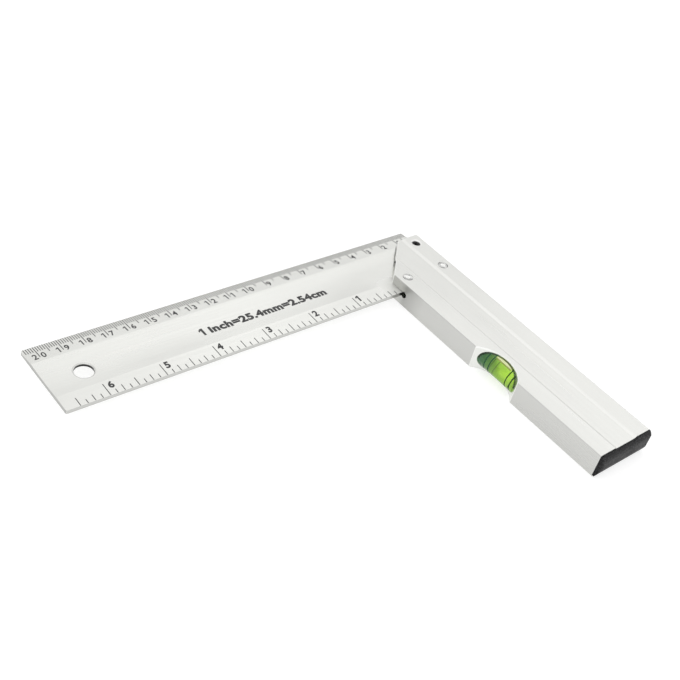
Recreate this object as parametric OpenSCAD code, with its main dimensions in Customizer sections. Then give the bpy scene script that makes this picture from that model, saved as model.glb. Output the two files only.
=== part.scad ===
// Carpenter square: a ruled aluminium blade riveted into a hollow aluminium stock with a level vial.
// It lies on its stock. x runs along the blade away from the stock, y along the stock away from the
// blade's millimetre edge, and z = 0 is the plane that the stock rests on. Sizes are in millimetres.

/* [Blade] */
// Reach of the blade's free end from the stock's back
blade_reach = 205.2; // [120:0.1:320]
// Width of the blade
blade_w = 38; // [34:0.5:60]
// Thickness of the blade at its crests
blade_t = 2; // [1.6:0.1:3]
// Thickness left at the millimetre edge
mm_edge_t = 1; // [0.6:0.1:1.4]
// Width of the bevel that carries the millimetre scale
mm_bevel_w = 9.5; // [6:0.5:12]
// Width of the band that carries the inch scale
inch_band_w = 8; // [6:0.5:13]
// Drop of the inch band towards its edge
inch_drop = 0.15; // [0.05:0.05:0.3]
// Depth of the shallow hollow between the two scales
hollow_depth = 0.35; // [0.1:0.05:0.6]
// Radius of the free corner at the millimetre edge
mm_corner_r = 1.5; // [0.5:0.1:4]
// Radius of the free corner at the inch edge
inch_corner_r = 0.8; // [0.3:0.1:4]
// Diameter of the hanging hole
hang_d = 8.1; // [5:0.1:12]
// Distance of the hanging hole from the free end
hang_inset = 16.4; // [9:0.1:30]
// Distance of the hanging hole from the millimetre edge
hang_y = 21.2; // [17:0.1:24]
// Chamfer round the hanging hole
hang_chamfer = 0.2; // [0.1:0.05:0.4]

/* [Stock] */
// Length of the stock without its end cap
stock_len = 150.4; // [125:0.1:220]
// Width of the stock over its rounded back
stock_w = 34; // [32:0.5:48]
// Thickness of the stock
stock_t = 12; // [11.5:0.5:16]
// Rise of the rounded back beyond the flat faces
back_rise = 1.4; // [1:0.1:3]
// Radius of the two long edges beside the registering face
face_edge_r = 0.6; // [0.3:0.1:1.5]
// Width of the floor of the sunk panel on each broad face
panel_w = 11.8; // [8:0.1:14]
// Depth of the sunk panel
panel_depth = 0.6; // [0.2:0.1:0.9]
// Run of the slope on each side of the sunk panel
panel_slope = 1.4; // [0.5:0.1:1.6]
// Width of the raised land between the registering face and the sunk panel
face_land = 9.2; // [8.6:0.1:12]
// Leg of the 45 degree mitre at the blade end
mitre_leg = 20.5; // [10:0.5:22]
// Reach of the blade's millimetre edge beyond the stock's end
edge_overhang = 10; // [6:0.5:14]

/* [Hollows in the stock] */
// Wall between the rounded back and the chamber
back_wall = 2.8; // [2.4:0.1:5]
// Wall between the chamber and the vial channel
web_t = 3.3; // [1.2:0.1:8]
// Wall above and below the chamber, beside the sunk panel
chamber_wall = 1.9; // [1.6:0.1:2.6]
// Radius in the corners of the chamber
chamber_r = 1; // [0.3:0.1:2]

/* [Blade joint] */
// Gap between the blade and its slot on each broad side
slot_clear = 0.03; // [0.01:0.01:0.1]
// Setback of the blade's inner end from the stock's back
blade_setback = 1; // [0:0.1:2]
// Diameter of the relief hole that ends the slot
relief_d = 3.2; // [2.6:0.1:4]
// Distance of the relief hole's axis past the blade
relief_past = 1.2; // [0.8:0.1:1.4]
// Diameter of a rivet's shank
rivet_d = 4; // [3:0.1:4.6]
// Diameter of a rivet's sunk head
rivet_head_d = 5; // [4.8:0.1:6]
// Depth of a rivet's sunk head
rivet_head_h = 1; // [0.8:0.1:1.4]
// Width of the groove round a rivet's head
rivet_groove = 0.18; // [0.05:0.01:0.3]
// Depth of the dish in a rivet's head
rivet_dish = 0.2; // [0.1:0.05:0.4]
// Diameter of the dish in a rivet's head
rivet_dish_d = 2.7; // [1.5:0.1:3.6]
// Distance of the back fasteners from the stock's back
back_fastener_x = 6.2; // [5.5:0.1:8]
// Distance of the face rivet from the registering face
face_rivet_inset = 4.8; // [4.2:0.1:6]
// Distance of the rivets from the blade's inch edge
rivet_edge_gap = 3.2; // [2.6:0.1:5]
// Distance of the lock screw from the stock's end
screw_y_inset = 5.3; // [4:0.1:8]
// Diameter of the lock screw
screw_d = 4; // [3.4:0.1:4.4]
// Depth of the lock screw below the face
screw_sunk = 0.9; // [0.4:0.1:1.2]
// Width across the flats of the lock screw's socket
socket_af = 2; // [1.5:0.1:2.4]
// Depth of the lock screw's socket
socket_depth = 1.8; // [1:0.1:2.2]
// Chamfer round the lock screw's hole
screw_chamfer = 0.5; // [0.2:0.1:0.7]
// Chamfer on the lock screw's rim
screw_rim = 0.4; // [0.1:0.1:0.6]

/* [Level vial] */
// Outer diameter of the vial
vial_d = 10.8; // [8:0.1:11]
// Length of the vial
vial_len = 40; // [34:0.5:50]
// Distance of the vial's middle from the capped end of the stock
vial_from_cap = 61; // [45:0.1:80]
// Depth of the vial's axis behind the registering face
vial_axis_inset = 7.2; // [6.8:0.1:8]
// Gap between the vial and its channel
vial_clear = 0.1; // [0.05:0.01:0.15]
// Wall of the vial's tube
tube_wall = 1.4; // [0.8:0.1:1.8]
// Thickness of the tube's closed end, and of its plug
vial_end_t = 3; // [2:0.5:4]
// Chamfer on the ends of the vial
vial_chamfer = 0.5; // [0.2:0.1:0.8]
// Length of the bubble
bubble_len = 10; // [6:0.5:14]
// Diameter of the bubble
bubble_d = 4.4; // [3:0.1:5]
// Depth of the bubble below the top of the liquid
bubble_depth = 1.9; // [1:0.1:2.4]

/* [Notch] */
// Radius of the notch that opens the stock at the vial
notch_r = 16; // [14:0.5:20]
// Depth of the notch into the registering face
notch_depth = 6.5; // [5.4:0.1:7]

/* [End cap] */
// Thickness of the cap's flange at its crown
flange_t = 1.8; // [1.2:0.1:3]
// Thickness left at the flange's rim
flange_rim_t = 0.6; // [0.3:0.1:1.1]
// Width over which the flange falls to its rim at the rounded back
crown_back_w = 1; // [0.6:0.1:4]
// Width over which the flange falls to its rim at the registering face
crown_face_w = 3.4; // [2:0.1:8]
// Width over which the flange falls to its rim along its two long sides
crown_side_w = 4.4; // [1:0.1:5.5]
// Radius of the cap's two corners at the registering face
cap_corner_r = 1.5; // [0.6:0.1:2.5]
// Length of the cap's plugs
plug_len = 9; // [5:0.5:15]
// Gap between each plug and its hollow
plug_clear = 0.05; // [0.02:0.01:0.15]
// Lead-in at the tip of each plug
plug_lead = 0.8; // [0.3:0.1:1.2]

/* [Hidden] */
// Tiny overrun that lets a cut pass cleanly through a face
over = 1;
// Resolution of small and large round shapes
fine = 96;
coarse = 720;

half_t = stock_t / 2;
blade_z = half_t - blade_t / 2;
stock_y = edge_overhang;
stock_end = stock_y + stock_len;
face_x = stock_w;
back_r = (half_t * half_t + back_rise * back_rise) / (2 * back_rise);
panel_mid = stock_w - face_land - panel_slope - panel_w / 2;

hollow_w = blade_w - mm_bevel_w - inch_band_w;
hollow_mid = mm_bevel_w + hollow_w / 2;
hollow_r = (hollow_w * hollow_w / 4 + hollow_depth * hollow_depth) / (2 * hollow_depth);

rivet_y = blade_w - rivet_edge_gap;
screw_y = stock_y + screw_y_inset;
relief_y = blade_w + relief_past;

vial_x = face_x - vial_axis_inset;
vial_y = stock_end - vial_from_cap;
channel_r = vial_d / 2 + vial_clear;
chamber_w = vial_x - channel_r - web_t - back_wall;
chamber_h = stock_t - 2 * chamber_wall;
bore_r = vial_d / 2 - tube_wall;
notch_x = face_x - notch_depth + notch_r;

overall_x = blade_reach;
overall_y = stock_end + flange_t;

// Puts a piece in the part's frame: the origin is under the middle of the whole square.
module place() {
    translate([-overall_x / 2, -overall_y / 2, 0]) children();
}

// Runs a profile drawn in x and z along y, from y0 over the given length.
module along_y(y0, length) {
    translate([0, y0 + length, 0]) rotate([90, 0, 0]) linear_extrude(length) children();
}

// A round bar along y.
module bar_y(x, y0, z, r, length) {
    translate([x, y0, z]) rotate([-90, 0, 0]) cylinder(r = r, h = length, $fn = fine);
}

// A bar along y with both ends chamfered.
module chamfered_bar_y(x, y0, z, r, length, chamfer) {
    translate([x, y0, z]) rotate([-90, 0, 0]) {
        cylinder(r1 = r - chamfer, r2 = r, h = chamfer, $fn = fine);
        translate([0, 0, chamfer]) cylinder(r = r, h = length - 2 * chamfer, $fn = fine);
        translate([0, 0, length - chamfer])
            cylinder(r1 = r, r2 = r - chamfer, h = chamfer, $fn = fine);
    }
}

// What a rounded corner of radius r leaves of its square, with the corner at the origin.
module corner_waste(r) {
    difference() {
        translate([-over, -over]) square(r + over);
        translate([r, r]) circle(r, $fn = fine);
    }
}

// A rectangle with rounded corners, from its lower corner.
module rounded_rect(w, h, r) {
    difference() {
        square([w, h]);
        for (i = [0, 1], j = [0, 1])
            translate([i * w, j * h]) mirror([i, 0]) mirror([0, j]) corner_waste(r);
    }
}

// The blade across its width, in y and z: bevel, shallow hollow and inch band over a flat underside.
module blade_section() {
    difference() {
        polygon([
            [0, 0],
            [blade_w, 0],
            [blade_w, blade_t - inch_drop],
            [blade_w - inch_band_w, blade_t],
            [mm_bevel_w, blade_t],
            [0, mm_edge_t]
        ]);
        translate([hollow_mid, blade_t - hollow_depth + hollow_r]) circle(hollow_r, $fn = coarse);
    }
}

module blade_plan() {
    difference() {
        translate([blade_setback, 0]) square([blade_reach - blade_setback, blade_w]);
        translate([blade_reach, 0]) mirror([1, 0]) corner_waste(mm_corner_r);
        translate([blade_reach, blade_w]) mirror([1, 0]) mirror([0, 1]) corner_waste(inch_corner_r);
    }
}

module hang_hole() {
    translate([blade_reach - hang_inset, hang_y, blade_z]) {
        translate([0, 0, -over]) cylinder(d = hang_d, h = blade_t + 2 * over, $fn = fine);
        cylinder(d1 = hang_d + 2 * hang_chamfer, d2 = hang_d, h = hang_chamfer, $fn = fine);
        translate([0, 0, blade_t - hollow_depth - hang_chamfer])
            cylinder(d1 = hang_d, d2 = hang_d + 2 * (hang_chamfer + hollow_depth),
                     h = hang_chamfer + hollow_depth, $fn = fine);
    }
}

module blade() {
    color("gainsboro") place() difference() {
        intersection() {
            translate([0, 0, blade_z]) rotate([90, 0, 90]) linear_extrude(blade_reach) blade_section();
            translate([0, 0, blade_z - over]) linear_extrude(blade_t + 2 * over) blade_plan();
        }
        hang_hole();
        for (x = [back_fastener_x, face_x - face_rivet_inset])
            translate([x, rivet_y, 0]) cylinder(d = rivet_d, h = stock_t, $fn = fine);
    }
}

// The stock across its length, in x and z, without its hollows: flat inner face with corners of
// radius corner_r, rounded back and sunk panels.
module stock_outline(corner_r) {
    difference() {
        union() {
            translate([back_rise, 0]) square([stock_w - back_rise, stock_t]);
            intersection() {
                translate([back_r, half_t]) circle(back_r, $fn = coarse);
                square([2 * back_rise, stock_t]);
            }
        }
        for (side = [0, 1]) translate([0, side * stock_t]) mirror([0, side]) {
            translate([stock_w, 0]) mirror([1, 0]) corner_waste(corner_r);
            polygon([
                [panel_mid - panel_w / 2 - panel_slope, -over],
                [panel_mid - panel_w / 2 - panel_slope, 0],
                [panel_mid - panel_w / 2, panel_depth],
                [panel_mid + panel_w / 2, panel_depth],
                [panel_mid + panel_w / 2 + panel_slope, 0],
                [panel_mid + panel_w / 2 + panel_slope, -over]
            ]);
        }
    }
}

module chamber_section(gap) {
    translate([back_wall + gap, chamber_wall + gap])
        rounded_rect(chamber_w - 2 * gap, chamber_h - 2 * gap, chamber_r);
}

// Radius of a rivet's sunk head at a depth below the face.
function head_r(depth) =
    rivet_head_d / 2 - (rivet_head_d - rivet_d) / 2 * depth / rivet_head_h;

// Height of the blade's upper surface between its bevel and its inch band.
function hollow_z(y) =
    blade_z + blade_t - hollow_depth + hollow_r - sqrt(pow(hollow_r, 2) - pow(y - hollow_mid, 2));

module at_rivet_back() { translate([back_fastener_x, rivet_y, 0]) children(); }
module at_rivet_face() { translate([face_x - face_rivet_inset, rivet_y, 0]) children(); }
module at_screw() { translate([back_fastener_x, screw_y, 0]) children(); }

module rivet_hole() {
    translate([0, 0, -over]) cylinder(d = rivet_d, h = stock_t + 2 * over, $fn = fine);
    for (side = [0, 1]) translate([0, 0, side * stock_t]) mirror([0, 0, side])
        cylinder(d1 = rivet_head_d, d2 = rivet_d, h = rivet_head_h, $fn = fine);
}

module screw_hole() {
    translate([0, 0, half_t]) cylinder(d = screw_d, h = half_t + over, $fn = fine);
    translate([0, 0, stock_t - screw_chamfer])
        cylinder(d1 = screw_d, d2 = screw_d + 2 * screw_chamfer, h = screw_chamfer, $fn = fine);
}

// Sawn slot for the blade, with the drilled relief hole that ends it.
module blade_slot() {
    translate([-over, stock_y - over, blade_z - slot_clear])
        cube([stock_w + 2 * over, relief_y - stock_y + over, blade_t + 2 * slot_clear]);
    translate([-over, relief_y, half_t]) rotate([0, 90, 0])
        cylinder(d = relief_d, h = stock_w + 2 * over, $fn = fine);
}

module mitre_cut() {
    translate([0, 0, -over]) linear_extrude(stock_t + 2 * over) polygon([
        [face_x - mitre_leg - over, stock_y - over],
        [face_x + over, stock_y - over],
        [face_x + over, stock_y + mitre_leg + over]
    ]);
}

module stock() {
    color("silver") place() difference() {
        along_y(stock_y, stock_len) difference() {
            stock_outline(face_edge_r);
            chamber_section(0);
            translate([vial_x, half_t]) circle(channel_r, $fn = fine);
        }
        mitre_cut();
        blade_slot();
        translate([notch_x, vial_y, -over])
            cylinder(r = notch_r, h = stock_t + 2 * over, $fn = 2 * fine);
        at_rivet_back() rivet_hole();
        at_rivet_face() rivet_hole();
        at_screw() screw_hole();
    }
}

// A rivet standing on z = 0: sunk heads, a groove round each and a shallow dish in the middle.
module rivet() {
    color("whitesmoke") rotate_extrude($fn = fine) polygon([
        [0, rivet_dish],
        [rivet_dish_d / 2, 0],
        [head_r(rivet_groove) - rivet_groove, 0],
        [head_r(rivet_groove), rivet_groove],
        [rivet_d / 2, rivet_head_h],
        [rivet_d / 2, stock_t - rivet_head_h],
        [head_r(rivet_groove), stock_t - rivet_groove],
        [head_r(rivet_groove) - rivet_groove, stock_t],
        [rivet_dish_d / 2, stock_t],
        [0, stock_t - rivet_dish]
    ]);
}

module rivet_back() { place() at_rivet_back() rivet(); }

module rivet_face() { place() at_rivet_face() rivet(); }

// Socket screw that locks the blade: it stands on the blade's shallow hollow.
module lock_screw() {
    tip_z = min(blade_z + blade_t,
                max(hollow_z(screw_y - screw_d / 2), hollow_z(screw_y + screw_d / 2)));
    rim_z = stock_t - screw_sunk - screw_rim;
    color("dimgray") place() at_screw() difference() {
        union() {
            translate([0, 0, tip_z]) cylinder(d = screw_d, h = rim_z - tip_z, $fn = fine);
            translate([0, 0, rim_z])
                cylinder(d1 = screw_d, d2 = screw_d - 2 * screw_rim, h = screw_rim, $fn = fine);
        }
        translate([0, 0, stock_t - screw_sunk - socket_depth])
            cylinder(d = socket_af / cos(30), h = socket_depth + over, $fn = 6);
    }
}

module vial_tube() {
    color("palegreen", 0.5) place() difference() {
        chamfered_bar_y(vial_x, vial_y - vial_len / 2, half_t, vial_d / 2, vial_len, vial_chamfer);
        bar_y(vial_x, vial_y - vial_len / 2 + vial_end_t, half_t, bore_r, vial_len);
    }
}

module vial_plug() {
    color("palegreen", 0.7) place()
        bar_y(vial_x, vial_y + vial_len / 2 - vial_end_t, half_t, bore_r, vial_end_t);
}

// The liquid fills the tube's bore but for a bubble with round ends under the top of the bore.
module vial_liquid() {
    bubble_r = bubble_d / 2;
    bubble_z = half_t + bore_r - bubble_depth + bubble_r;
    color("yellowgreen") place() difference() {
        bar_y(vial_x, vial_y - vial_len / 2 + vial_end_t, half_t, bore_r, vial_len - 2 * vial_end_t);
        for (end = [-1, 1])
            translate([vial_x, vial_y + end * (bubble_len / 2 - bubble_r), bubble_z])
                sphere(bubble_r, $fn = fine);
        bar_y(vial_x, vial_y - bubble_len / 2 + bubble_r, bubble_z, bubble_r, bubble_len - bubble_d);
    }
}

// Radius of an arc that falls by the crown's height over the given width.
function crown_r(w) = (w * w + pow(flange_t - flange_rim_t, 2)) / (2 * (flange_t - flange_rim_t));

// Crowned profile of the flange over the length l, with its seat on the lower axis: level in the
// middle, with an arc that falls to the rim over the width w0 at one end and w1 at the other.
module crown_profile(l, w0, w1) {
    intersection() {
        square([l, flange_t]);
        union() {
            square([l, flange_rim_t]);
            translate([w0, 0]) square([l - w0 - w1, flange_t]);
            translate([w0, flange_t - crown_r(w0)]) circle(crown_r(w0), $fn = coarse);
            translate([l - w1, flange_t - crown_r(w1)]) circle(crown_r(w1), $fn = coarse);
        }
    }
}

// Flange of the cap: the stock's outline, crowned towards its rim on all four sides.
module flange() {
    intersection() {
        along_y(stock_end, flange_t) stock_outline(cap_corner_r);
        translate([0, stock_end, 0]) linear_extrude(stock_t)
            crown_profile(stock_w, crown_back_w, crown_face_w);
        translate([0, stock_end, 0]) rotate([90, 0, 90]) linear_extrude(stock_w)
            mirror([1, -1]) crown_profile(stock_t, crown_side_w, crown_side_w);
    }
}

// Round plug of the cap in the vial channel, tapered at its tip.
module channel_plug() {
    plug_r = channel_r - plug_clear;
    translate([vial_x, stock_end - plug_len, half_t]) rotate([-90, 0, 0]) {
        cylinder(r1 = plug_r - plug_lead / 2, r2 = plug_r, h = plug_lead, $fn = fine);
        translate([0, 0, plug_lead]) cylinder(r = plug_r, h = plug_len - plug_lead, $fn = fine);
    }
}

// Moulded cap: a crowned flange and a plug for each of the stock's two hollows.
module end_cap() {
    color("darkslategray") place() {
        flange();
        along_y(stock_end - plug_len + plug_lead, plug_len - plug_lead) chamber_section(plug_clear);
        along_y(stock_end - plug_len, plug_lead) chamber_section(plug_clear + plug_lead / 2);
        channel_plug();
    }
}

blade();
stock();
end_cap();
rivet_back();
rivet_face();
lock_screw();
vial_tube();
vial_plug();
vial_liquid();
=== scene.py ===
"""Carpenter square: a ruled aluminium blade riveted into a hollow stock with a level vial.

Values named *_MM are millimetres. Places among them are in the drawing's own axes: x from the
stock's rounded back along the blade, y from the blade's millimetre edge along the stock. All other
lengths and places are metres in the frame.
"""

import math

import bmesh
import bpy
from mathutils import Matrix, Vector
from mathutils.bvhtree import BVHTree


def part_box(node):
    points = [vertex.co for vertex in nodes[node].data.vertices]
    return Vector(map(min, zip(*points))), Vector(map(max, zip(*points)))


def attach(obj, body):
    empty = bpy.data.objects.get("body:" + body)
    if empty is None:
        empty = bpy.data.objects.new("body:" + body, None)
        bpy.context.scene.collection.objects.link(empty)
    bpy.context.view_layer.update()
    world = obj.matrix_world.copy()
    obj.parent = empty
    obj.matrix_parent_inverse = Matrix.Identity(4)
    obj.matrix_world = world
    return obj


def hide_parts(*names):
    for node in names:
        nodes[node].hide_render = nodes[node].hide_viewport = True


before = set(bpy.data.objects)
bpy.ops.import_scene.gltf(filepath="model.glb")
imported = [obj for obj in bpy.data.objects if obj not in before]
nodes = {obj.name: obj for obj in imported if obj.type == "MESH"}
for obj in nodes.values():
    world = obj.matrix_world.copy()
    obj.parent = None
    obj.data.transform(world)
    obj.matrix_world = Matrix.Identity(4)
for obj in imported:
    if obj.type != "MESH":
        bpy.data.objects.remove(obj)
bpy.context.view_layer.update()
MM = 0.001

# Places shared with the solids
BLADE_LOW, BLADE_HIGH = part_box("blade")
STOCK_LOW, STOCK_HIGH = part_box("stock")
TUBE_LOW, TUBE_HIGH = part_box("vial_tube")
LIQUID_LOW, LIQUID_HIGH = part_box("vial_liquid")
ORIGIN_X = STOCK_LOW.x  # the stock's rounded back, where the millimetre scale starts
ORIGIN_Y = BLADE_LOW.y  # the blade's millimetre edge
FACE_X = STOCK_HIGH.x  # the registering face, where the inch scale starts
INCH_EDGE_Y = BLADE_HIGH.y
TUBE_R, TUBE_HALF = (TUBE_HIGH.z - TUBE_LOW.z) / 2, (TUBE_HIGH.y - TUBE_LOW.y) / 2
LIQUID_R, LIQUID_HALF = (LIQUID_HIGH.z - LIQUID_LOW.z) / 2, (LIQUID_HIGH.y - LIQUID_LOW.y) / 2


def place(x_mm, y_mm, z):
    """A point given in the drawing's x and y, and in metres above the ground."""
    return Vector((ORIGIN_X + x_mm * MM, ORIGIN_Y + y_mm * MM, z))


def middle_of(node):
    low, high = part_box(node)
    return (low + high) / 2


def radius_of(node):
    """The radius of an upright round piece."""
    low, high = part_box(node)
    return (high.x - low.x) / 2


RIVETS_AT, RIVET_R = [middle_of("rivet_back"), middle_of("rivet_face")], radius_of("rivet_back")
SCREW_AT, SCREW_R = middle_of("lock_screw"), radius_of("lock_screw")
VIAL_AT = middle_of("vial_tube")
HOLE_AT, HOLE_R = place(188.8, 21.2, 0), 4.05 * MM
NOTCH_AT, NOTCH_R = place(43.5, 99.4, 0), 16 * MM


def new_object(name, data):
    made = bpy.data.objects.new(name, data)
    bpy.context.scene.collection.objects.link(made)
    return made


# Camera, fitted to the scales on the blade
CAMERA_AT = place(348.31, 289.15, 0.29525)
CAMERA_RIGHT = Vector((-0.764225, 0.613883, 0.197758))
CAMERA_DOWN = Vector((0.284114, 0.595711, -0.751271))
LENS_MM = 56.165
SENSOR_MM = 36


def make_camera():
    data = bpy.data.cameras.new("camera")
    data.lens = LENS_MM
    data.sensor_width = SENSOR_MM
    data.clip_start, data.clip_end = 0.01, 20
    camera = new_object("camera", data)
    right = CAMERA_RIGHT.normalized()
    up = -(CAMERA_DOWN - right * CAMERA_DOWN.dot(right)).normalized()
    back = right.cross(up)
    matrix = camera.matrix_world.copy()
    for row in range(3):
        matrix[row][0], matrix[row][1] = right[row], up[row]
        matrix[row][2], matrix[row][3] = back[row], CAMERA_AT[row]
    camera.matrix_world = matrix
    bpy.context.scene.camera = camera


make_camera()


# Node helpers
class Tree:
    """A short way to write the node tree of a material or a world."""

    def __init__(self, owner):
        owner.use_nodes = True
        self.owner = owner
        self.nodes = owner.node_tree.nodes
        self.links = owner.node_tree.links
        self.nodes.clear()

    def feed(self, socket, value):
        """Sets a socket, or links it where the value is another node's output."""
        if isinstance(value, bpy.types.NodeSocket):
            self.links.new(value, socket)
        else:
            socket.default_value = value

    def add(self, kind, inputs=None, **settings):
        node = self.nodes.new("ShaderNode" + kind)
        for key, value in settings.items():
            setattr(node, key, value)
        for key, value in (inputs or {}).items():
            self.feed(node.inputs[key], value)
        return node

    def finish(self, shader):
        """Sends a shader to the output, and gives the material or the world."""
        world = isinstance(self.owner, bpy.types.World)
        self.add("OutputWorld" if world else "OutputMaterial", {"Surface": shader})
        return self.owner

    def principled(self, inputs):
        return self.add("BsdfPrincipled", inputs).outputs["BSDF"]

    def noise(self, scale, stretch=(1, 1, 1), detail=4.0, roughness=0.55):
        """Noise over the object's own coordinates, in metres, stretched by a factor per axis."""
        source = self.add("TexCoord").outputs["Object"]
        mapped = self.add("Mapping", {"Vector": source, "Scale": stretch}).outputs["Vector"]
        settings = {"Vector": mapped, "Scale": scale, "Detail": detail, "Roughness": roughness}
        return self.add("TexNoise", settings).outputs["Fac"]

    def spread(self, value, low, high, from_low=0.3, from_high=0.7):
        """Maps a value, by default a noise's usual spread, to low..high and no further."""
        settings = {
            "Value": value,
            "From Min": from_low,
            "From Max": from_high,
            "To Min": low,
            "To Max": high,
        }
        return self.add("MapRange", settings).outputs["Result"]

    def within(self, distance, near, far):
        """1 where a distance is under near, fading to 0 at far."""
        return self.spread(distance, 1.0, 0.0, near, far)

    def math(self, operation, a, b=0.0):
        node = self.add("Math", operation=operation)
        self.feed(node.inputs[0], a)
        self.feed(node.inputs[1], b)
        return node.outputs[0]

    def times(self, *factors):
        product = factors[0]
        for factor in factors[1:]:
            product = self.math("MULTIPLY", product, factor)
        return product

    def mix(self, factor, a, b):
        """Mixes two colours."""
        node = self.add("Mix", data_type="RGBA")
        for key, value in (("Factor", factor), ("A", a), ("B", b)):
            self.feed(next(s for s in node.inputs if s.name == key and s.enabled), value)
        return next(s for s in node.outputs if s.enabled)

    def bump(self, height, distance, strength, normal=None):
        inputs = {"Height": height, "Distance": distance, "Strength": strength}
        if normal is not None:
            inputs["Normal"] = normal
        return self.add("Bump", inputs).outputs["Normal"]

    def facing(self, axis):
        """1 on faces that look along the object's own axis, 0 on those well away from it."""
        normal = self.add("TexCoord").outputs["Normal"]
        along = self.add("SeparateXYZ", {"Vector": normal}).outputs[axis]
        return self.spread(self.math("ABSOLUTE", along), 0.0, 1.0, 0.5, 0.9)

    def at(self, axis):
        """The object's own x, y or z in metres."""
        point = self.add("TexCoord").outputs["Object"]
        return self.add("SeparateXYZ", {"Vector": point}).outputs[axis]

    def off_plane(self, axis, middle):
        """The distance in metres from a plane across an axis."""
        return self.math("ABSOLUTE", self.math("SUBTRACT", self.at(axis), middle))

    def off_axis(self, centre):
        """The distance in metres from an upright axis."""
        point = self.add("TexCoord").outputs["Object"]
        start = (centre[0], centre[1], 0)
        offset = self.add("VectorMath", {0: point, 1: start}, operation="SUBTRACT").outputs[0]
        flat = self.add("VectorMath", {0: offset, 1: (1, 1, 0)}, operation="MULTIPLY").outputs[0]
        return self.add("VectorMath", {0: flat}, operation="LENGTH").outputs["Value"]

    def rings(self, centres, radius, width):
        """1 on a soft ring of the given radius and width round each upright axis."""
        total = None
        for centre in centres:
            off = self.math("ABSOLUTE", self.math("SUBTRACT", self.off_axis(centre), radius))
            ring = self.within(off, 0.35 * width, 0.65 * width)
            total = ring if total is None else self.math("MAXIMUM", total, ring)
        return total

    def rounded(self, radius):
        """A normal that rounds sharp edges."""
        return self.add("Bevel", {"Radius": radius}, samples=6).outputs["Normal"]

    def edges(self, rounded):
        """1 on the edges that a rounded normal softens."""
        flat = self.add("NewGeometry").outputs["Normal"]
        pair = {0: rounded, 1: flat}
        dot = self.add("VectorMath", pair, operation="DOT_PRODUCT").outputs["Value"]
        return self.spread(dot, 1.0, 0.0, 0.90, 0.995)


def new_material(name):
    return Tree(bpy.data.materials.new(name))


def tint(colour, factor=1.0):
    """A colour of three parts made darker or lighter, with the fourth part that sockets take."""
    return tuple(min(1.0, part * factor) for part in colour) + (1.0,)


def grey(value):
    return tint((value, value, value))


# Metals
BLADE_COLOUR = (0.855, 0.858, 0.825)
STOCK_COLOUR = (0.832, 0.834, 0.804)
RIVET_COLOUR = (0.95, 0.95, 0.93)
EDGE_COLOUR = (0.94, 0.94, 0.93)
# Painted shade: a dark colour laid in the hanging hole, along the mitre, in the inner face's corner
# and round the rivets, where shade falls
PAINTED_SHADE = grey(0.03)
# Painted light: a pale colour laid as highlights on the mitre's edge, the notch's upper lip and the
# screw's rim, and where a tone is lifted
PAINTED_LIGHT = tint((0.96, 0.96, 0.945))
CUT = tint((0.82, 0.822, 0.80))

# Below this height the hanging hole's wall is given painted shadow
HOLE_SHADOW_TOP = BLADE_LOW.z + 1.25 * MM
# The blade is duller and painted lighter in its corner with the inner face, and this is where that
# fades
DULL_X = (FACE_X + 5 * MM, FACE_X + 11 * MM)
DULL_Y = (INCH_EDGE_Y - 14 * MM, INCH_EDGE_Y - 9 * MM)
DULL_ROUGHNESS = 0.6
MITRE_OFFSET_MM = 3.5  # x less y along the mitre's foot
# The blade's line along the mitre is painted shadow, and these are its places
MITRE_LINE_MM = (8.0, 10.5, 20.0, 21.6)  # y where it starts, is darkest, is still dark, and ends
# Above this height the rim of the notch is given a painted highlight
NOTCH_LIP_Z = STOCK_HIGH.z - 0.7 * MM
# The inner face's corner with the blade is given painted shade
CORNER_MM = (40.5, 52.0)  # y over which the inner face clears from the corner's shade
# The step of the stock's sunk panel, which is painted lighter here
PANEL_LINE_X = ORIGIN_X + 24.4 * MM


def aluminium(
    name, colour, grain_axis, roughness, speckle, streak, painted_shade_x, painted_shade_y, edge_radius, marks, dull=None
):
    """Anodised aluminium with drawing lines along grain_axis and a fine blasted speckle.

    The two side factors are the shares of the colour left, as painted shade, on faces that look along
    x and y beside the broad ones. marks gives (mask, amount, colour) of painted shade and painted
    light laid over the metal, and dull, where it is given, a roughness that the metal has at least.
    """
    t = new_material(name)
    along, across = 6.0, 900.0
    drawn = tuple(along if axis == grain_axis else across for axis in "xyz")
    cloudy = tuple(0.4 if axis == grain_axis else 1 for axis in "xyz")
    lines = t.noise(1.0, drawn, detail=5.0, roughness=0.6)
    broad = t.noise(38.0, cloudy, detail=3.0)
    fine = t.noise(2600.0, detail=2.0, roughness=0.7)
    soft = t.rounded(edge_radius)
    edge = t.edges(soft)

    base = t.mix(t.spread(broad, 0.0, 1.0), tint(colour, 0.93), tint(colour, 1.035))
    base = t.mix(t.spread(lines, 0.0, streak), base, tint(colour, 0.86))
    base = t.mix(t.spread(fine, 0.0, speckle), base, tint(colour, 0.72))
    # Faces that look along x and y are darkened with painted shade
    base = t.mix(t.facing("X"), base, tint(colour, painted_shade_x))
    base = t.mix(t.facing("Y"), base, tint(colour, painted_shade_y))
    base = t.mix(t.times(edge, 0.55), base, tint(EDGE_COLOUR))
    for mask, amount, colour_over in marks(t):
        base = t.mix(t.times(mask, amount), base, colour_over)

    rough = t.spread(broad, roughness - 0.04, roughness + 0.05)
    rough = t.math("ADD", rough, t.spread(lines, -0.03, 0.03))
    rough = t.math("SUBTRACT", rough, t.times(edge, 0.10))
    if dull:
        rough = t.math("MAXIMUM", rough, dull(t))

    normal = t.bump(lines, 0.006 * MM, 0.35, soft)
    normal = t.bump(fine, 0.010 * MM, 0.45, normal)
    inputs = {"Base Color": base, "Metallic": 1.0, "Roughness": rough, "Normal": normal}
    return t.finish(t.principled(inputs))


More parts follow.
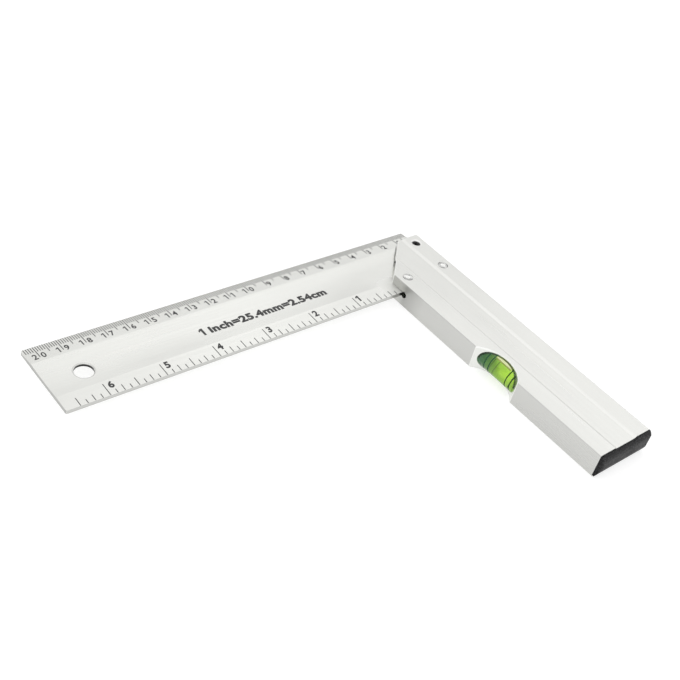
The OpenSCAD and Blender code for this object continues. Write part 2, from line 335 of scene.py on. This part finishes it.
def off_mitre(t):
    """The distance from the stock's mitred end, as a difference of x less y in metres."""
    across = t.math("SUBTRACT", t.at("X"), t.at("Y"))
    foot = ORIGIN_X - ORIGIN_Y + MITRE_OFFSET_MM * MM
    return t.math("ABSOLUTE", t.math("SUBTRACT", across, foot))


def mitre_line(t):
    """Up to 1 on the thin line of painted shadow where the blade passes under the stock's mitred end.
    """
    start, darkest, still_dark, stop = (ORIGIN_Y + y * MM for y in MITRE_LINE_MM)
    rise = t.spread(t.at("Y"), 0.1, 0.9, start, darkest)
    fall = t.within(t.at("Y"), still_dark, stop)
    return t.times(t.within(off_mitre(t), 0.35 * MM, 0.85 * MM), rise, fall)


def dull_patch(t):
    """1 on the blade's face in the corner that it makes with the stock's inner face, which is made
    duller and painted lighter.
    """
    return t.times(t.within(t.at("X"), *DULL_X), t.spread(t.at("Y"), 0.0, 1.0, *DULL_Y), t.facing("Z"))


def blade_dullness(t):
    return t.times(dull_patch(t), DULL_ROUGHNESS)


def blade_marks(t):
    # Painted shadow on the lower part of the hanging hole's wall, and painted shade on a ring round
    # its rim
    low = t.math("LESS_THAN", t.at("Z"), HOLE_SHADOW_TOP)
    hole_wall_shadow = t.times(t.rings([HOLE_AT], HOLE_R, 0.6 * MM), low)
    hole_rim_shade = t.rings([HOLE_AT], HOLE_R + 0.45 * MM, 0.3 * MM)
    return [
        (hole_wall_shadow, 0.97, PAINTED_SHADE),
        (hole_rim_shade, 0.22, PAINTED_SHADE),
        (dull_patch(t), 0.25, PAINTED_LIGHT),
        (mitre_line(t), 0.7, PAINTED_SHADE),
    ]


def broken(t):
    """A share that comes and goes over a millimetre or so, for rings that don't close."""
    return t.spread(t.noise(420.0, detail=1.0), 0.15, 1.0, 0.4, 0.55)


def stock_marks(t):
    # The upper part of the notch's lip gets a painted highlight over the cut colour
    high = t.math("GREATER_THAN", t.at("Z"), NOTCH_LIP_Z)
    lip = t.rings([NOTCH_AT], NOTCH_R, 0.5 * MM)
    # A painted highlight along the edge of the stock's mitred end
    mitre = t.within(off_mitre(t), 0.2 * MM, 0.4 * MM)
    panel_step_light = t.times(t.within(t.off_plane("X", PANEL_LINE_X), 0.5 * MM, 0.9 * MM), high)
    # Painted shade on the inner face, fading out along y from its corner with the blade
    clears = t.within(t.at("Y"), *(ORIGIN_Y + y * MM for y in CORNER_MM))
    starts = t.spread(t.at("Y"), 0.0, 1.0, INCH_EDGE_Y - 1.5 * MM, INCH_EDGE_Y + 2 * MM)
    inner_face = t.times(t.facing("X"), t.math("GREATER_THAN", t.at("X"), FACE_X - 1 * MM))
    corner = t.times(clears, starts, inner_face)
    # A painted highlight on a ring round the screw's hole
    screw_rim_highlight = t.rings([SCREW_AT], SCREW_R + 0.3 * MM, 0.7 * MM)
    # Painted shade in the gap round each rivet
    rivet_gap_shade = t.times(t.rings(RIVETS_AT, RIVET_R, 0.16 * MM), broken(t))
    return [
        (mitre, 1.0, PAINTED_LIGHT),
        (lip, 1.0, CUT),
        (t.times(lip, high), 1.0, PAINTED_LIGHT),
        (corner, 0.24, PAINTED_SHADE),
        (panel_step_light, 0.3, PAINTED_LIGHT),
        (screw_rim_highlight, 0.9, PAINTED_LIGHT),
        (rivet_gap_shade, 0.5, PAINTED_SHADE),
    ]


def rivet_marks(t):
    # Painted shade in the gap round each rivet's head and on the step of its dished middle
    gap_shade = t.times(t.rings(RIVETS_AT, RIVET_R - 0.12 * MM, 0.36 * MM), broken(t))
    step_shade = t.times(t.rings(RIVETS_AT, 1.62 * MM, 0.75 * MM), broken(t))
    return [(gap_shade, 0.8, PAINTED_SHADE), (step_shade, 0.55, PAINTED_SHADE)]


def black_steel(name):
    """Blackened steel, painted paler as a highlight where the middle of the socket would catch light.
    """
    t = new_material(name)
    grain = t.noise(1800.0, detail=3.0)
    soft = t.rounded(0.15 * MM)
    base = t.mix(t.spread(grain, 0.0, 1.0), grey(0.012), tint((0.035, 0.034, 0.033)))
    base = t.mix(t.times(t.edges(soft), 0.4), base, grey(0.20))
    # A painted highlight in the middle of the socket
    middle = t.spread(t.off_axis(SCREW_AT), 0.8, 0.0, 0.5 * MM, 1.3 * MM)
    base = t.mix(middle, base, grey(0.16))
    inputs = {
        "Base Color": base,
        "Metallic": 0.6,
        "Roughness": t.spread(grain, 0.32, 0.5),
        "Normal": t.bump(grain, 0.01 * MM, 0.5, soft),
    }
    return t.finish(t.principled(inputs))


# Plastic and ink
CAP_GLOSS = 0.10


def black_plastic(name):
    """Moulded black plastic with a fine spark grain and faint scuffs."""
    t = new_material(name)
    grain = t.noise(1500.0, detail=3.0, roughness=0.65)
    broad = t.noise(160.0, detail=3.0)
    scuff = t.noise(1.0, (260, 2400, 1400), detail=4.0, roughness=0.7)
    base = t.mix(t.spread(broad, 0.0, 1.0), tint((0.010, 0.010, 0.0105)), tint((0.018, 0.018, 0.019)))
    base = t.mix(t.spread(scuff, 0.0, 0.35, 0.55, 0.8), base, tint((0.06, 0.06, 0.062)))
    base = t.mix(t.spread(grain, 0.0, 0.6, 0.5, 0.65), base, tint((0.080, 0.080, 0.082)))
    base = t.mix(t.spread(grain, 0.7, 0.0, 0.35, 0.5), base, grey(0.002))
    inputs = {
        "Base Color": base,
        "Roughness": t.spread(broad, 0.36, 0.48),
        "Normal": t.bump(grain, 0.06 * MM, 0.8, t.rounded(0.3 * MM)),
        "IOR": 1.45,
        "Specular IOR Level": CAP_GLOSS,
    }
    return t.finish(t.principled(inputs))


def ink(name, colour, wear, gloss=0.5):
    """Printed ink that lets some metal through where it is worn."""
    t = new_material(name)
    worn = t.noise(1500.0, detail=4.0, roughness=0.7)
    patch = t.noise(120.0, detail=2.0)
    base = t.mix(t.spread(worn, 0.0, wear, 0.42, 0.75), tint(colour), tint((0.62, 0.62, 0.60)))
    base = t.mix(t.spread(patch, 0.0, 0.10), base, grey(0.30))
    inputs = {
        "Base Color": base,
        "Roughness": t.spread(worn, 0.35, 0.6),
        "Specular IOR Level": gloss,
        "Normal": t.bump(worn, 0.004 * MM, 0.3),
    }
    return t.finish(t.principled(inputs))


# The vial's materials
ACRYLIC_IOR, LIQUID_IOR = 1.49, 1.38
# Over these places the painted shade at the end that the stock covers gives way to painted light and
# glow at the open notch
PAINTED_LIGHT_Y = (VIAL_AT.y - 11 * MM, VIAL_AT.y - 3 * MM)  # from the covered end to the open notch
BUBBLE_LENGTH, BUBBLE_WIDTH, BUBBLE_HEIGHT = 11.0 * MM, 3.6 * MM, 1.4 * MM


def clear_acrylic(name):
    """The vial's clear body, darkened with painted shade where it is seen edge on and with painted
    shadow under the notch's lip.
    """
    t = new_material(name)
    ripple = t.noise(220.0, detail=2.0)
    shade = t.mix(t.spread(ripple, 0.0, 1.0), tint((0.93, 0.955, 0.91)), tint((0.97, 0.995, 0.95)))
    # Painted shade on the parts seen edge on
    edge_on = t.add("LayerWeight", {"Blend": 0.5}).outputs["Facing"]
    shade = t.mix(t.spread(edge_on, 0.0, 1.0, 0.62, 0.90), shade, tint((0.14, 0.19, 0.03)))
    # Painted shadow under the notch's lip
    upper = t.math("GREATER_THAN", t.at("Z"), VIAL_AT.z)
    lip = t.times(t.rings([NOTCH_AT], NOTCH_R - 0.1 * MM, 1.1 * MM), upper)
    shade = t.mix(lip, shade, tint((0.022, 0.032, 0.004)))
    inputs = {
        "Base Color": shade,
        "Roughness": t.spread(ripple, 0.01, 0.03),
        "Transmission Weight": 1.0,
        "IOR": ACRYLIC_IOR,
        "Normal": t.bump(ripple, 0.004 * MM, 0.3),
    }
    return t.finish(t.principled(inputs))


def dyed_liquid(name):
    """The level's liquid: a clear lime dye with a painted glow, darker and dimmer towards the covered
    end as painted shade.
    """
    t = new_material(name)
    ripple = t.noise(260.0, detail=2.0)
    painted_light_share = t.spread(t.at("Y"), 0.0, 1.0, *PAINTED_LIGHT_Y)
    # A painted glow, dimmer towards the covered end
    glow = t.mix(painted_light_share, tint((0.008, 0.036, 0.018)), tint((0.070, 0.112, 0.013)))
    glow = t.mix(t.spread(ripple, 0.0, 0.25), glow, tint((0.03, 0.06, 0.012)))
    inputs = {
        "Base Color": t.mix(painted_light_share, tint((0.36, 0.72, 0.42)), tint((0.72, 0.91, 0.26))),
        "Roughness": 0.0,
        "Transmission Weight": 1.0,
        "IOR": LIQUID_IOR / ACRYLIC_IOR,
        "Emission Color": glow,
        "Emission Strength": 1.0,
    }
    return t.finish(t.principled(inputs))


def bubble_air(name):
    """The level's bubble: painted pale, with a painted glow, where the sky would show in it, and
    painted brown shade along its rim.
    """
    t = new_material(name)
    ripple = t.noise(300.0, detail=2.0)
    half_width, half_length = BUBBLE_WIDTH / 2, BUBBLE_LENGTH / 2
    off_side, off_end = t.off_plane("X", VIAL_AT.x), t.off_plane("Y", VIAL_AT.y)
    side = t.spread(off_side, 0.0, 1.0, half_width - 0.55 * MM, half_width - 0.2 * MM)
    end = t.spread(off_end, 0.0, 1.0, half_length - 1.0 * MM, half_length - 0.3 * MM)
    rim = t.math("MAXIMUM", side, end)
    # Painted reflection of the sky in the middle, and painted shade along the rim
    pale = t.mix(t.spread(ripple, 0.0, 0.5), tint((1.0, 1.0, 0.80)), tint((0.9, 0.95, 0.55)))
    inputs = {
        "Base Color": t.mix(rim, pale, tint((0.26, 0.20, 0.02))),
        "Roughness": t.spread(ripple, 0.1, 0.2),
        # A painted glow, pale in the middle and dark at the rim
        "Emission Color": t.mix(rim, tint((0.42, 0.42, 0.26)), tint((0.02, 0.02, 0.0))),
        "Emission Strength": 1.0,
        "Alpha": 0.9,
    }
    return t.finish(t.principled(inputs))


blade_metal = aluminium(
    "blade_metal",
    BLADE_COLOUR,
    grain_axis="x",
    roughness=0.24,
    speckle=0.08,
    streak=0.14,
    painted_shade_x=0.47,
    painted_shade_y=0.63,
    edge_radius=0.25 * MM,
    marks=blade_marks,
    dull=blade_dullness,
)
stock_metal = aluminium(
    "stock_metal",
    STOCK_COLOUR,
    grain_axis="y",
    roughness=0.30,
    speckle=0.16,
    streak=0.12,
    painted_shade_x=0.70,
    painted_shade_y=0.74,
    edge_radius=0.25 * MM,
    marks=stock_marks,
)
rivet_metal = aluminium(
    "rivet_metal",
    RIVET_COLOUR,
    grain_axis="x",
    roughness=0.26,
    speckle=0.12,
    streak=0.25,
    painted_shade_x=0.8,
    painted_shade_y=0.8,
    edge_radius=0.10 * MM,
    marks=rivet_marks,
)
cap_plastic = black_plastic("cap_plastic")
screw_steel = black_steel("screw_steel")
fine_ink = ink("fine_ink", (0.016, 0.016, 0.017), wear=0.10)
bold_ink = ink("bold_ink", (0.010, 0.010, 0.011), wear=0.08)
tick_ink = ink("tick_ink", (0.020, 0.020, 0.021), wear=0.10)
ring_ink = ink("ring_ink", (0.012, 0.060, 0.004), wear=0.0, gloss=0.1)
far_ring_ink = ink("far_ring_ink", (0.020, 0.10, 0.045), wear=0.0, gloss=0.1)
acrylic = clear_acrylic("acrylic")
liquid = dyed_liquid("liquid")
air = bubble_air("air")

for node, material in (
    ("blade", blade_metal),
    ("stock", stock_metal),
    ("rivet_back", rivet_metal),
    ("rivet_face", rivet_metal),
    ("lock_screw", screw_steel),
    ("end_cap", cap_plastic),
):
    nodes[node].data.materials.clear()
    nodes[node].data.materials.append(material)


def add_piece(name, bm, material, smooth=False):
    """Makes a piece of the part from a bmesh, which it frees."""
    mesh = bpy.data.meshes.new(name)
    bm.to_mesh(mesh)
    bm.free()
    for polygon in mesh.polygons:
        polygon.use_smooth = smooth
    mesh.materials.append(material)
    piece = new_object(name, mesh)
    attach(piece, "root")
    return piece


# Print on the blade
INK_LIFT = 0.035 * MM
ABOVE_BLADE = BLADE_HIGH.z + 10 * MM
DOWN = Vector((0, 0, -1))
FACE_MM = (FACE_X - ORIGIN_X) / MM
INCH_EDGE_MM = (INCH_EDGE_Y - ORIGIN_Y) / MM


def surface_of(node):
    bm = bmesh.new()
    bm.from_mesh(nodes[node].data)
    tree = BVHTree.FromBMesh(bm)
    bm.free()
    return tree


blade_surface = surface_of("blade")


def on_blade(x_mm, y_mm):
    """The point of the blade's upper surface at x and y, lifted by the ink."""
    above = place(x_mm, y_mm, ABOVE_BLADE)
    hit = blade_surface.ray_cast(above, DOWN)[0]
    return Vector((above.x, above.y, (hit.z if hit else BLADE_HIGH.z) + INK_LIFT))


def lay(bm, points):
    """Adds a face that looks up."""
    face = bm.faces.new(points)
    face.normal_update()
    if face.normal.z < 0:
        face.normal_flip()


def stroke(bm, x_mm, from_mm, to_mm, width_mm, steps=2):
    """A tick across the blade's edge, laid on its surface in a few steps."""
    rows = []
    for i in range(steps + 1):
        y_mm = from_mm + (to_mm - from_mm) * i / steps
        rows.append([bm.verts.new(on_blade(x_mm + side * width_mm / 2, y_mm)) for side in (-1, 1)])
    for a, b in zip(rows, rows[1:]):
        lay(bm, (a[0], a[1], b[1], b[0]))


LETTER_SPACE = 1.08


def lettering_mesh(text, weight):
    """The flat mesh of a line of text whose strokes are thickened by weight."""
    curve = bpy.data.curves.new("lettering", "FONT")
    curve.body = text
    curve.align_x = "CENTER"
    curve.size = 1.0
    curve.offset = weight
    curve.space_character = LETTER_SPACE
    curve.resolution_u = 4
    source = new_object("lettering", curve)
    bpy.context.view_layer.update()
    drawn = source.evaluated_get(bpy.context.evaluated_depsgraph_get())
    mesh = bpy.data.meshes.new_from_object(drawn)
    bpy.data.objects.remove(source)
    bpy.data.curves.remove(curve)
    return mesh


def letters(bm, text, x_mm, y_mm, height_mm, weight, widen=1.0, length_mm=None):
    """Upright lettering for a reader at the stock's far end: its top is at the millimetre edge.

    x_mm and y_mm are its centre, and height_mm is that of a capital or a numeral. length_mm,
    where it is given, is that of the whole line, and takes the place of widen.
    """
    mesh = lettering_mesh(text, weight)
    across = [v.co.x for v in mesh.vertices]
    upward = [v.co.y for v in mesh.vertices]
    low, high = min(upward), max(upward)
    scale = height_mm / (high - low)
    if length_mm:
        widen = length_mm / ((max(across) - min(across)) * scale)
    middle = (low + high) / 2
    points = [
        bm.verts.new(on_blade(x_mm - u * scale * widen, y_mm - (v - middle) * scale))
        for u, v in zip(across, upward)
    ]
    for polygon in mesh.polygons:
        lay(bm, [points[i] for i in polygon.vertices])
    bpy.data.meshes.remove(mesh)


# The numeral one's flag, as shares of its height and of its stroke's width
FLAG_REACH, FLAG_DROP, FLAG_FOOT = 0.24, 0.20, 1.1


def one(bm, x_mm, y_mm, height_mm, width_mm):
    """A numeral one with a flag, where the built-in lettering has a bare bar."""
    half, reach, drop = width_mm / 2, FLAG_REACH * height_mm, FLAG_DROP * height_mm
    stem = ((-half, 0), (half, 0), (half, height_mm), (-half, height_mm))
    flag = (
        (-half, height_mm),
        (-half - reach, height_mm - drop),
        (-half - reach, height_mm - drop - width_mm),
        (-half, height_mm - FLAG_FOOT * width_mm),
    )
    for outline in (stem, flag):
        points = [on_blade(x_mm - u, y_mm - v + height_mm / 2) for u, v in outline]
        lay(bm, [bm.verts.new(point) for point in points])


MM_TICKS = range(2, 205)  # from past the blade's rounded corner to just short of its end
MM_TICK_START_MM, MM_TICK_END_MM = 0.15, (3.4, 5.3, 7.1)  # for one, five and ten millimetres
MM_TICK_WIDTH_MM = (0.30, 0.30, 0.33)
MM_DIGIT_Y_MM, MM_DIGIT_HEIGHT_MM = 6.35, 3.3
MM_DIGIT_WEIGHT, MM_DIGIT_WIDEN = 0.018, 0.90
MM_DIGIT_APART_MM = 1.8  # how far each of two numerals stands from its tick
MM_SINGLE_OFFSET_MM = 1.6  # and how far one numeral does
MM_ONE_SHIFT_MM, MM_ONE_WIDTH_MM = 0.2, 0.5


def centimetre_label(bm, centimetres):
    """One numeral beside its tick, or one on either side of it."""
    label = str(centimetres)
    single = len(label) == 1
    offsets = [-MM_SINGLE_OFFSET_MM] if single else [MM_DIGIT_APART_MM, -MM_DIGIT_APART_MM]
    for digit, offset in zip(label, offsets):
        x_mm = 10 * centimetres + offset
        if digit == "1":
            x_mm -= MM_ONE_SHIFT_MM
            one(bm, x_mm, MM_DIGIT_Y_MM, MM_DIGIT_HEIGHT_MM, MM_ONE_WIDTH_MM)
        else:
            letters(
                bm, digit, x_mm, MM_DIGIT_Y_MM, MM_DIGIT_HEIGHT_MM, MM_DIGIT_WEIGHT, MM_DIGIT_WIDEN
            )


def millimetre_scale():
    ticks, digits = bmesh.new(), bmesh.new()
    for i in MM_TICKS:
        kind = 2 if i % 10 == 0 else 1 if i % 5 == 0 else 0
        stroke(ticks, i, MM_TICK_START_MM, MM_TICK_END_MM[kind], MM_TICK_WIDTH_MM[kind])
        if kind == 2:
            centimetre_label(digits, i // 10)
    add_piece("millimetre_ticks", ticks, fine_ink)
    add_piece("millimetre_numerals", digits, fine_ink)


INCH_MM = 25.4
INCH_EIGHTHS = 52
# y where the tick ends that stands none to seven eighths past an inch
INCH_TICK_TOP_MM = (31.4, 35.7, 34.6, 35.7, 33.5, 35.7, 34.6, 35.7)
INCH_TICK_WIDTH_MM, INCH_TICK_GAP_MM = 0.33, 0.05
INCH_DIGIT_Y_MM, INCH_DIGIT_HEIGHT_MM, INCH_DIGIT_OFFSET_MM = 32.85, 3.7, 2.75
INCH_DIGIT_WEIGHT, INCH_ONE_WIDTH_MM = 0.040, 0.85


def inch_scale():
    ticks, digits = bmesh.new(), bmesh.new()
    for eighth in range(1, INCH_EIGHTHS + 1):
        inches, part = divmod(eighth, 8)
        x_mm = FACE_MM + eighth * INCH_MM / 8
        top, foot = INCH_TICK_TOP_MM[part], INCH_EDGE_MM - INCH_TICK_GAP_MM
        stroke(ticks, x_mm, top, foot, INCH_TICK_WIDTH_MM)
        label_at = (x_mm - INCH_DIGIT_OFFSET_MM, INCH_DIGIT_Y_MM, INCH_DIGIT_HEIGHT_MM)
        if eighth == 8:
            one(digits, *label_at, INCH_ONE_WIDTH_MM)
        elif part == 0:
            letters(digits, str(inches), *label_at, INCH_DIGIT_WEIGHT)
    add_piece("inch_ticks", ticks, tick_ink)
    add_piece("inch_numerals", digits, bold_ink)


CONVERSION_X_MM, CONVERSION_Y_MM = 99.4, 21.8
CONVERSION_HEIGHT_MM, CONVERSION_LENGTH_MM = 4.4, 63.0
CONVERSION_WEIGHT = 0.050
CONVERSION_ONE_X_MM, CONVERSION_ONE_WIDTH_MM = 133.9, 1.05


def conversion_line():
    """A generic line in the place of the photo's."""
    bm = bmesh.new()
    letters(
        bm,
        "inch=25.4mm=2.54cm",
        CONVERSION_X_MM,
        CONVERSION_Y_MM,
        CONVERSION_HEIGHT_MM,
        CONVERSION_WEIGHT,
        length_mm=CONVERSION_LENGTH_MM,
    )
    one(bm, CONVERSION_ONE_X_MM, CONVERSION_Y_MM, CONVERSION_HEIGHT_MM, CONVERSION_ONE_WIDTH_MM)
    add_piece("conversion_line", bm, bold_ink)


millimetre_scale()
inch_scale()
conversion_line()

# Level vial
TUBE_ROUND, TUBE_ROUND_STEPS = 0.5 * MM, 6
BUBBLE_RISE = 0.04 * MM  # how far it stands in the tube's wall, so that no film of liquid hides it
BUBBLE_END, BUBBLE_END_STEPS, BUBBLE_SIDES = 1.7 * MM, 8, 48
RINGS_AT = tuple(along * MM for along in (-7.2, -4.6, 5.9, 8.5))  # from the vial's middle
RING_WIDTH, RING_LIFT, RING_DEPTH = 0.55 * MM, 0.02 * MM, 0.05 * MM


def lathe(bm, profile, centre, sides=96):
    """Turns a profile of (distance along y, radius) round an axis along y."""
    turns = [2 * math.pi * i / sides for i in range(sides)]
    rings = []
    for along, radius in profile:
        angles = turns if radius else [0.0]
        offsets = [Vector((radius * math.cos(a), along, radius * math.sin(a))) for a in angles]
        rings.append([bm.verts.new(centre + offset) for offset in offsets])
    for ring, after in zip(rings, rings[1:]):
        for i in range(sides):
            j = (i + 1) % sides
            here = [ring[i % len(ring)], ring[j % len(ring)]]
            there = [after[j % len(after)], after[i % len(after)]]
            bm.faces.new(list(dict.fromkeys(here + there)))
    bmesh.ops.recalc_face_normals(bm, faces=bm.faces)


def mirrored(profile):
    """A profile followed by its mirror image about the middle."""
    return profile + [(-along, radius) for along, radius in reversed(profile)]


def vial_body():
    profile = [(-TUBE_HALF, 0.0)]
    for i in reversed(range(TUBE_ROUND_STEPS + 1)):
        a = math.pi / 2 * i / TUBE_ROUND_STEPS
        along = -TUBE_HALF + TUBE_ROUND * (1 - math.sin(a))
        profile.append((along, TUBE_R - TUBE_ROUND * (1 - math.cos(a))))
    bm = bmesh.new()
    lathe(bm, mirrored(profile), VIAL_AT)
    tube = add_piece("vial_body", bm, acrylic, smooth=True)
    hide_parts("vial_tube", "vial_plug")


def vial_filling():
    bm = bmesh.new()
    lathe(bm, mirrored([(-LIQUID_HALF, 0.0), (-LIQUID_HALF, LIQUID_R)]), VIAL_AT)
    filling = add_piece("vial_filling", bm, liquid, smooth=True)
    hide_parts("vial_liquid")


def vial_bubble():
    """A long flat bubble that rises to the top of the bore."""
    half = BUBBLE_LENGTH / 2
    profile = [(-half, 0.0)]
    for i in range(1, BUBBLE_END_STEPS + 1):
        a = math.pi / 2 * i / BUBBLE_END_STEPS
        profile.append((-half + BUBBLE_END * (1 - math.cos(a)), math.sin(a)))
    bm = bmesh.new()
    lathe(bm, mirrored(profile), Vector(), BUBBLE_SIDES)
    roof = LIQUID_R + BUBBLE_RISE
    for v in bm.verts:
        x = v.co.x * BUBBLE_WIDTH / 2
        z = roof + (v.co.z - 1) * BUBBLE_HEIGHT / 2
        v.co = VIAL_AT + Vector((x, v.co.y, min(z, math.sqrt(roof * roof - x * x))))
    add_piece("vial_bubble", bm, air, smooth=True)


def vial_rings():
    inner, outer = TUBE_R - RING_DEPTH, TUBE_R + RING_LIFT
    for number, along in enumerate(RINGS_AT, 1):
        a, b = along - RING_WIDTH / 2, along + RING_WIDTH / 2
        bm = bmesh.new()
        lathe(bm, [(a, inner), (a, outer), (b, outer), (b, inner)], VIAL_AT)
        material = far_ring_ink if along < 0 else ring_ink
        add_piece("vial_ring_%d" % number, bm, material)


vial_body()
vial_filling()
vial_bubble()
vial_rings()

# Floor, world and lamps
FLOOR_HALF = 30.0
FLOOR_COLOUR = 0.50
FLOOR_GLOW = 0.66
# (height as a share of 90 degrees, light)
SKY = ((0.0, 0.98), (0.22, 0.90), (0.40, 0.86), (0.52, 0.88), (0.66, 1.06))
TOP_LAMP_AT, TOP_LAMP_SIZE, TOP_LAMP_WATTS = (0.15, -0.25, 1.1), (1.0, 0.8), 0.3
BACK_DISTANCE, BACK_HEIGHT = 4.0, 0.5
# (name, degrees from +X towards +Y, degrees above the floor, width, watts)
BACK_LAMPS = (
    ("softbox_free_end", 237, 43.5, 1.1, 0.34),
    ("softbox_middle", 225, 39.6, 1.0, 0.50),
    ("softbox_stock", 198, 40.0, 1.55, 1.6),
)


def seen_directly(t):
    """1 for rays from the camera, and for those that it sends through metal and glass."""
    path = t.add("LightPath").outputs
    seen = path["Is Camera Ray"]
    for kind in ("Is Glossy Ray", "Is Transmission Ray"):
        seen = t.math("MAXIMUM", seen, path[kind])
    return seen


def make_floor():
    bm = bmesh.new()
    corners = [(-1, -1), (1, -1), (1, 1), (-1, 1)]
    bm.faces.new([bm.verts.new((x * FLOOR_HALF, y * FLOOR_HALF, 0)) for x, y in corners])
    mesh = bpy.data.meshes.new("floor")
    bm.to_mesh(mesh)
    bm.free()
    t = new_material("floor_white")
    diffuse = t.add("BsdfDiffuse", {"Color": grey(FLOOR_COLOUR)}).outputs[0]
    strength = t.times(seen_directly(t), FLOOR_GLOW)
    glow = t.add("Emission", {"Strength": strength}).outputs[0]
    mesh.materials.append(t.finish(t.add("AddShader", {0: diffuse, 1: glow}).outputs[0]))
    floor = new_object("floor", mesh)


def make_world():
    world = bpy.data.worlds.new("studio")
    bpy.context.scene.world = world
    t = Tree(world)
    direction = t.add("TexCoord").outputs["Generated"]
    upward = t.add("SeparateXYZ", {"Vector": direction}).outputs["Z"]
    height = t.math("DIVIDE", t.math("ARCSINE", upward), math.pi / 2)
    ramp = t.add("ValToRGB", {"Fac": height})
    stops = ramp.color_ramp.elements
    while len(stops) < len(SKY):
        stops.new(1.0)
    for stop, (position, light) in zip(stops, SKY):
        stop.position = position
        stop.color = (light, light, light, 1.0)
    inputs = {"Color": grey(1.0), "Strength": ramp.outputs["Color"]}
    t.finish(t.add("Background", inputs).outputs[0])


def softbox(name, at, size, watts):
    """A lamp that faces the middle of the floor."""
    data = bpy.data.lights.new(name, "AREA")
    data.shape = "RECTANGLE"
    data.size, data.size_y = size
    data.energy = watts
    lamp = new_object(name, data)
    lamp.location = at
    lamp.rotation_mode = "QUATERNION"
    lamp.rotation_quaternion = (-Vector(at)).to_track_quat("-Z", "Y")


def make_lamps():
    softbox("softbox_top", TOP_LAMP_AT, TOP_LAMP_SIZE, TOP_LAMP_WATTS)
    for name, compass, elevation, width, watts in BACK_LAMPS:
        turn, tilt = math.radians(compass), math.radians(elevation)
        level = BACK_DISTANCE * math.cos(tilt)
        at = (level * math.cos(turn), level * math.sin(turn), BACK_DISTANCE * math.sin(tilt))
        softbox(name, at, (width, BACK_HEIGHT), watts)


make_floor()
make_world()
make_lamps()
bpy.context.scene.view_settings.view_transform = "Standard"
